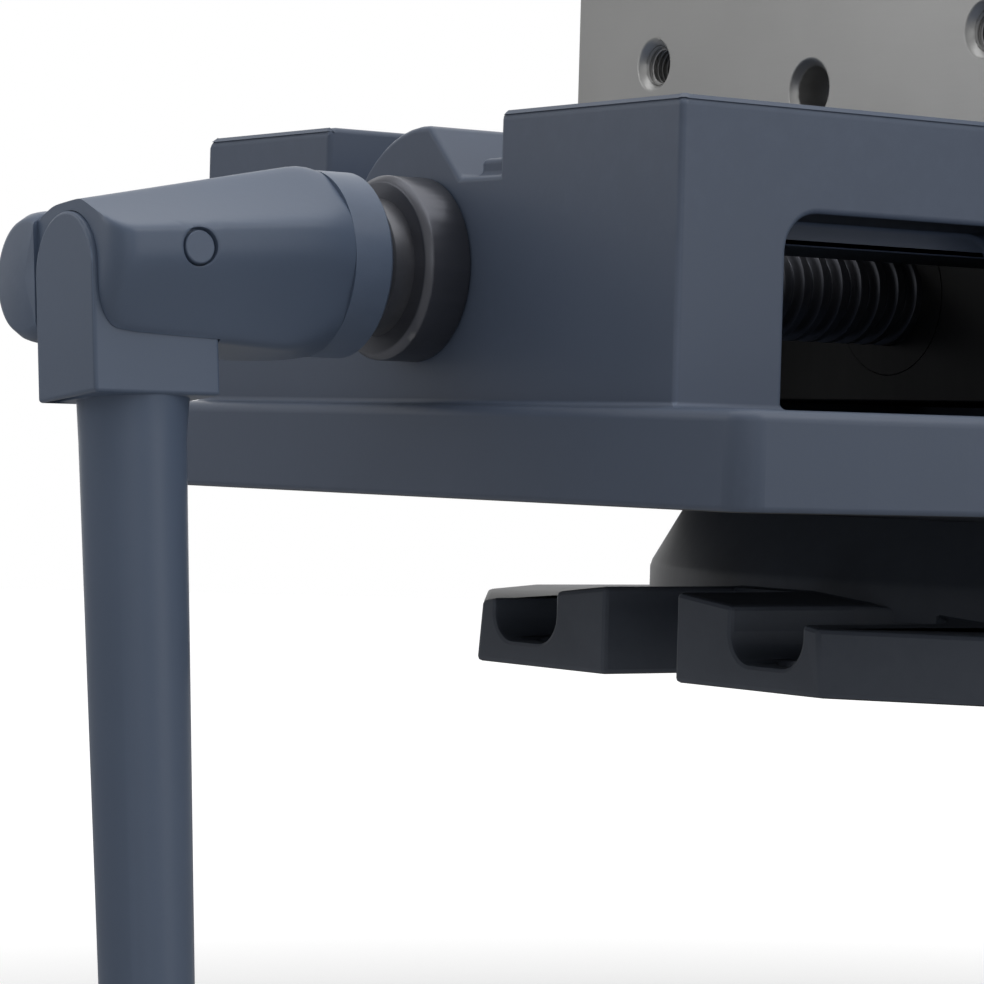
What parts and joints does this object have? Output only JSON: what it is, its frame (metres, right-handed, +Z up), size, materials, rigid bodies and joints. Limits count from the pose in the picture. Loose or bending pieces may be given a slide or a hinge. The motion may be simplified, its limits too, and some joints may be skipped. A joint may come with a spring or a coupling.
{
  "type": "swivel bench vise",
  "caption": "Cast machine vise that clamps work between flat steel jaws by a crank and screw, on a swivel base with slotted lugs.",
  "frame": {"origin": "centre of the swivel base's underside, on the swivel axis", "axes": "+X along the screw from the crank to the fixed jaw, +Z up along the swivel axis"},
  "size_m": [0.6018, 0.256, 0.2924],
  "materials": {
    "base_paint": "dark blue-black enamel on a casting",
    "body_paint": "satin blue-grey enamel on a casting",
    "crank_paint": "satin blue-grey enamel",
    "ground_steel": "ground, dull",
    "plate_steel": "hardened and ground",
    "bright_steel": "turned, oiled",
    "black_steel": "blackened",
    "raw_iron": "machined casting",
    "bronze": "turned bronze",
    "grip_plastic": "smooth black moulded"
  },
  "bodies": {
    "base": {"swivel_base": "base_paint", "pivot_pin": "bright_steel"},
    "bed": {"vise_bed": "body_paint", "clamp_tbolts": "black_steel", "clamp_washers": "black_steel", "clamp_nuts": "black_steel", "fixed_jaw": "ground_steel", "fixed_jaw_key": "bright_steel", "fixed_jaw_bolts": "black_steel", "fixed_jaw_plate": "plate_steel", "fixed_plate_screws": "black_steel", "end_bushing": "bronze", "tail_bushing": "bronze", "wall_race": "bright_steel"},
    "screw": {"lead_screw": "black_steel", "stop_collar": "black_steel", "collar_set_screw": "black_steel", "thrust_needles": "bright_steel", "collar_race": "bright_steel", "thrust_collar": "black_steel", "thrust_pin": "bright_steel"},
    "crank": {"crank_hub": "crank_paint", "crank_arm": "crank_paint", "crank_pin": "crank_paint", "grip_bolt": "black_steel", "grip_washers": "bright_steel"},
    "grip": {"grip_sleeve": "grip_plastic"},
    "jaw": {"movable_jaw": "ground_steel", "movable_jaw_plate": "plate_steel", "movable_plate_screws": "black_steel", "nut_carrier": "raw_iron", "screw_nut": "raw_iron", "half_ball": "bright_steel", "jaw_set_screw": "black_steel"}
  },
  "joints": [
    {"name": "swivel", "type": "hinge", "parent": "base", "child": "bed", "pos_m": [0, 0, 0.0355], "axis": [0, 0, 1], "continuous": true},
    {"name": "screw_spin", "type": "hinge", "parent": "bed", "child": "screw", "pos_m": [0, 0, 0.0785], "axis": [1, 0, 0], "range_deg": [-4680, 8244]},
    {"name": "jaw_slide", "type": "slide", "parent": "bed", "child": "jaw", "axis": [1, 0, 0], "range_m": [-0.0651, 0.1146]},
    {"name": "crank_pull", "type": "slide", "parent": "screw", "child": "crank", "axis": [-1, 0, 0], "range_m": [0, 0.045]},
    {"name": "grip_spin", "type": "hinge", "parent": "crank", "child": "grip", "pos_m": [-0.33, -0.0209, -0.1204], "axis": [1, 0, 0], "continuous": true}
  ],
  "couplings": [
    {"joint": "jaw_slide", "follows": "screw_spin", "m_per_rad": 0.00079577}
  ]
}
